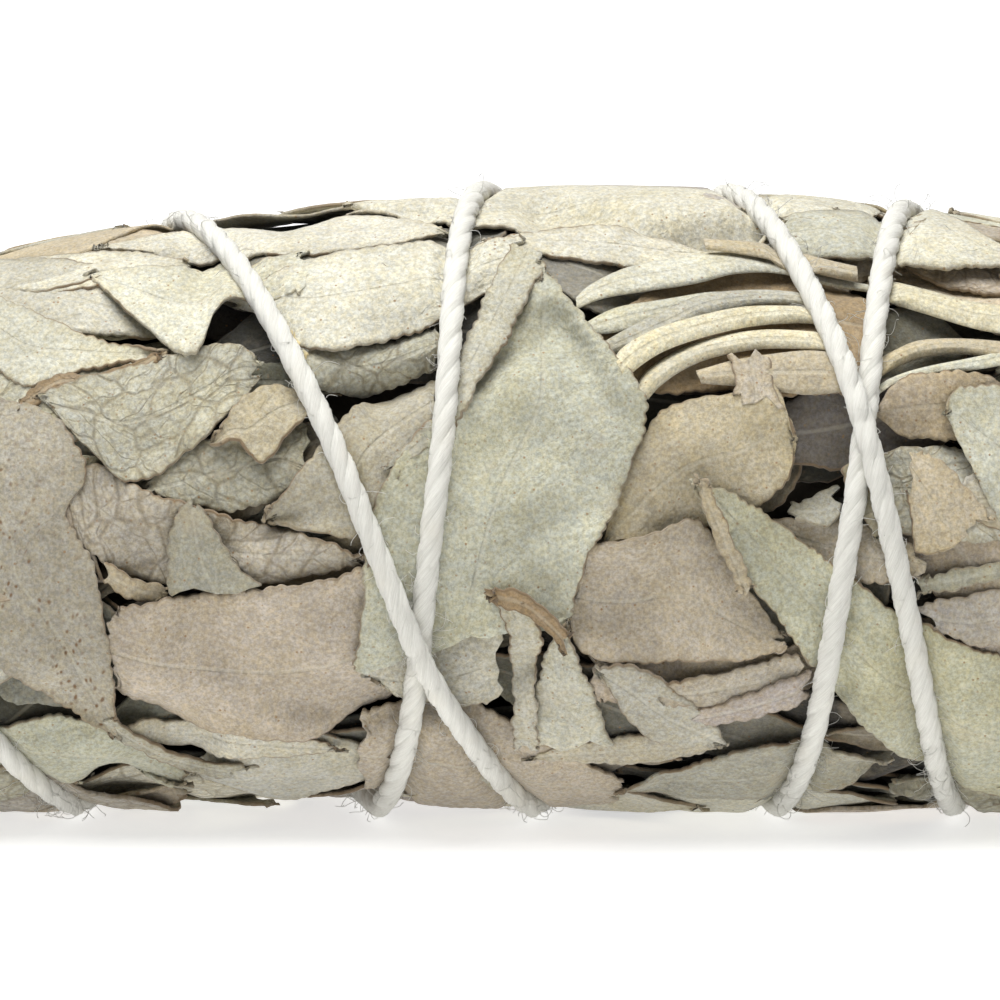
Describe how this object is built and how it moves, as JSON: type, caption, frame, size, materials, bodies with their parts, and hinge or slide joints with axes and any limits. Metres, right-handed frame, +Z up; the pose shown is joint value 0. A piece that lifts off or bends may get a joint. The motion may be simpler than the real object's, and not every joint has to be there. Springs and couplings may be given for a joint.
{
  "type": "white sage bunch",
  "caption": "Dried white sage sprigs pressed into a tapered bundle lying on its side, wound out and back with cotton string that crosses itself.",
  "frame": {"origin": "middle of the bunch's length and width, on the surface it lies on", "axes": "+X along the bunch towards the cut stems, +Z up; the side seen in the picture faces -Y"},
  "size_m": [0.114, 0.0409, 0.0385],
  "materials": {
    "leaf": "felted matt",
    "sprig": "dry, fibrous",
    "string": "soft cotton"
  },
  "bodies": {
    "root": {"packed_leaves": "leaf", "sprig_1": "sprig", "sprig_2": "sprig", "sprig_3": "sprig", "sprig_4": "sprig", "sprig_5": "sprig", "sprig_6": "sprig", "sprig_7": "sprig", "string": "string"}
  },
  "joints": []
}
